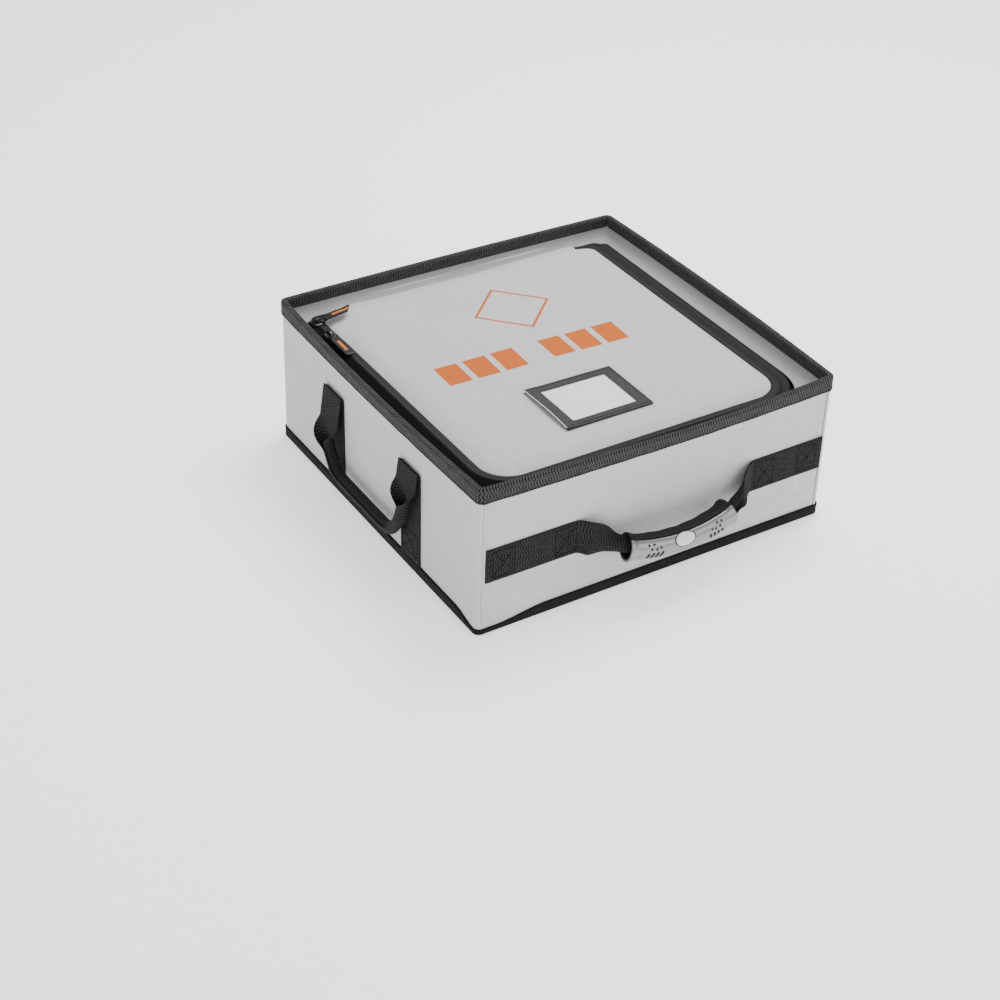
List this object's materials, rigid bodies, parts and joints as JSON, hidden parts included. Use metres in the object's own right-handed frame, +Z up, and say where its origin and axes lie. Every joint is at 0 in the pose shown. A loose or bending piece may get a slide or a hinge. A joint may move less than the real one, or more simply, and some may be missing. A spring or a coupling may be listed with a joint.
{
  "type": "zipped storage bag",
  "caption": "Square padded canvas storage bag with a zipped recessed lid, a label pocket, a front carry grip and webbing side handles.",
  "frame": {"origin": "centre of the base, on the surface that the bag stands on", "axes": "+Z up; +X to the right along the front, seen from the front; the front wall with the carry grip faces -Y"},
  "size_m": [0.463, 0.4547, 0.17],
  "materials": {
    "canvas_grey": "plain-weave coated canvas",
    "lining_grey": "smooth lining cloth",
    "stiffener_board": "flexible board, hidden",
    "pad_foam": "soft foam, hidden",
    "binding_tape": "ribbed herringbone tape",
    "seam_piping": "folded canvas seam",
    "webbing_black": "woven polypropylene webbing",
    "zip_tape": "knitted zip tape",
    "zip_coil": "nylon coil",
    "slider_metal": "black lacquer",
    "puller_rubber": "moulded, satin",
    "grip_silver": "satin silver-grey",
    "grip_dark": "soft-touch",
    "badge_pale": "satin",
    "label_border": "grosgrain border",
    "window_film": "clear flexible film",
    "card_white": "stiff white card"
  },
  "bodies": {
    "root": {"front_panel": "canvas_grey", "back_panel": "canvas_grey", "left_panel": "canvas_grey", "right_panel": "canvas_grey", "base_panel": "canvas_grey", "mouth_ledge": "canvas_grey", "back_flap": "canvas_grey", "wall_lining": "lining_grey", "base_lining": "lining_grey", "front_board": "stiffener_board", "back_board": "stiffener_board", "left_board": "stiffener_board", "right_board": "stiffener_board", "base_board": "stiffener_board", "rim_binding": "binding_tape", "bottom_binding": "binding_tape", "corner_seams": "seam_piping", "front_strap_left": "webbing_black", "front_strap_right": "webbing_black", "left_handle_legs": "webbing_black", "right_handle_legs": "webbing_black", "zip_tape_body": "zip_tape", "zip_coil_body": "zip_coil", "zip_end_stops": "zip_coil", "zip_gusset": "zip_tape"},
    "lid": {"lid_cover": "canvas_grey", "lid_foam": "pad_foam", "lid_lining": "lining_grey", "zip_tape_lid": "zip_tape", "zip_coil_lid": "zip_coil", "label_frame": "label_border", "label_window": "window_film"},
    "card": {"label_card": "card_white"},
    "slider_1": {"slider_1": "slider_metal"},
    "puller_1": {"puller_link_1": "slider_metal", "puller_tab_1": "puller_rubber"},
    "slider_2": {"slider_2": "slider_metal"},
    "puller_2": {"puller_link_2": "slider_metal", "puller_tab_2": "puller_rubber"},
    "front_handle": {"front_handle_webbing": "webbing_black", "grip_shell": "grip_silver", "grip_liner": "grip_dark", "grip_badge": "badge_pale"},
    "left_handle": {"left_handle_loop": "webbing_black"},
    "right_handle": {"right_handle_loop": "webbing_black"}
  },
  "joints": [
    {"name": "lid_hinge", "type": "hinge", "parent": "root", "child": "lid", "pos_m": [0, 0.1565, 0.1448], "axis": [-1, 0, 0], "range_deg": [0, 110]},
    {"name": "slider_1_slide", "type": "slide", "parent": "root", "child": "slider_1", "axis": [0, 1, 0], "range_m": [0, 0.003]},
    {"name": "puller_1_hinge", "type": "hinge", "parent": "slider_1", "child": "puller_1", "pos_m": [-0.183, 0.175, 0.15], "axis": [0, -1, 0], "range_deg": [-7, 110]},
    {"name": "slider_2_slide", "type": "slide", "parent": "lid", "child": "slider_2", "axis": [0, -1, 0], "range_m": [0, 0.276]},
    {"name": "puller_2_hinge", "type": "hinge", "parent": "slider_2", "child": "puller_2", "pos_m": [-0.183, 0.1445, 0.15], "axis": [-1, 0, 0], "range_deg": [0, 110]},
    {"name": "card_slide", "type": "slide", "parent": "lid", "child": "card", "axis": [-1, 0, 0], "range_m": [0, 0.09]},
    {"name": "front_handle_hinge", "type": "hinge", "parent": "root", "child": "front_handle", "pos_m": [0.0065, -0.2116, 0.078], "axis": [-1, 0, 0], "range_deg": [0, 100]},
    {"name": "left_handle_hinge", "type": "hinge", "parent": "root", "child": "left_handle", "pos_m": [-0.2146, 0, 0.124], "axis": [0, 1, 0], "range_deg": [0, 155]},
    {"name": "right_handle_hinge", "type": "hinge", "parent": "root", "child": "right_handle", "pos_m": [0.2146, 0, 0.124], "axis": [0, -1, 0], "range_deg": [0, 155]}
  ]
}
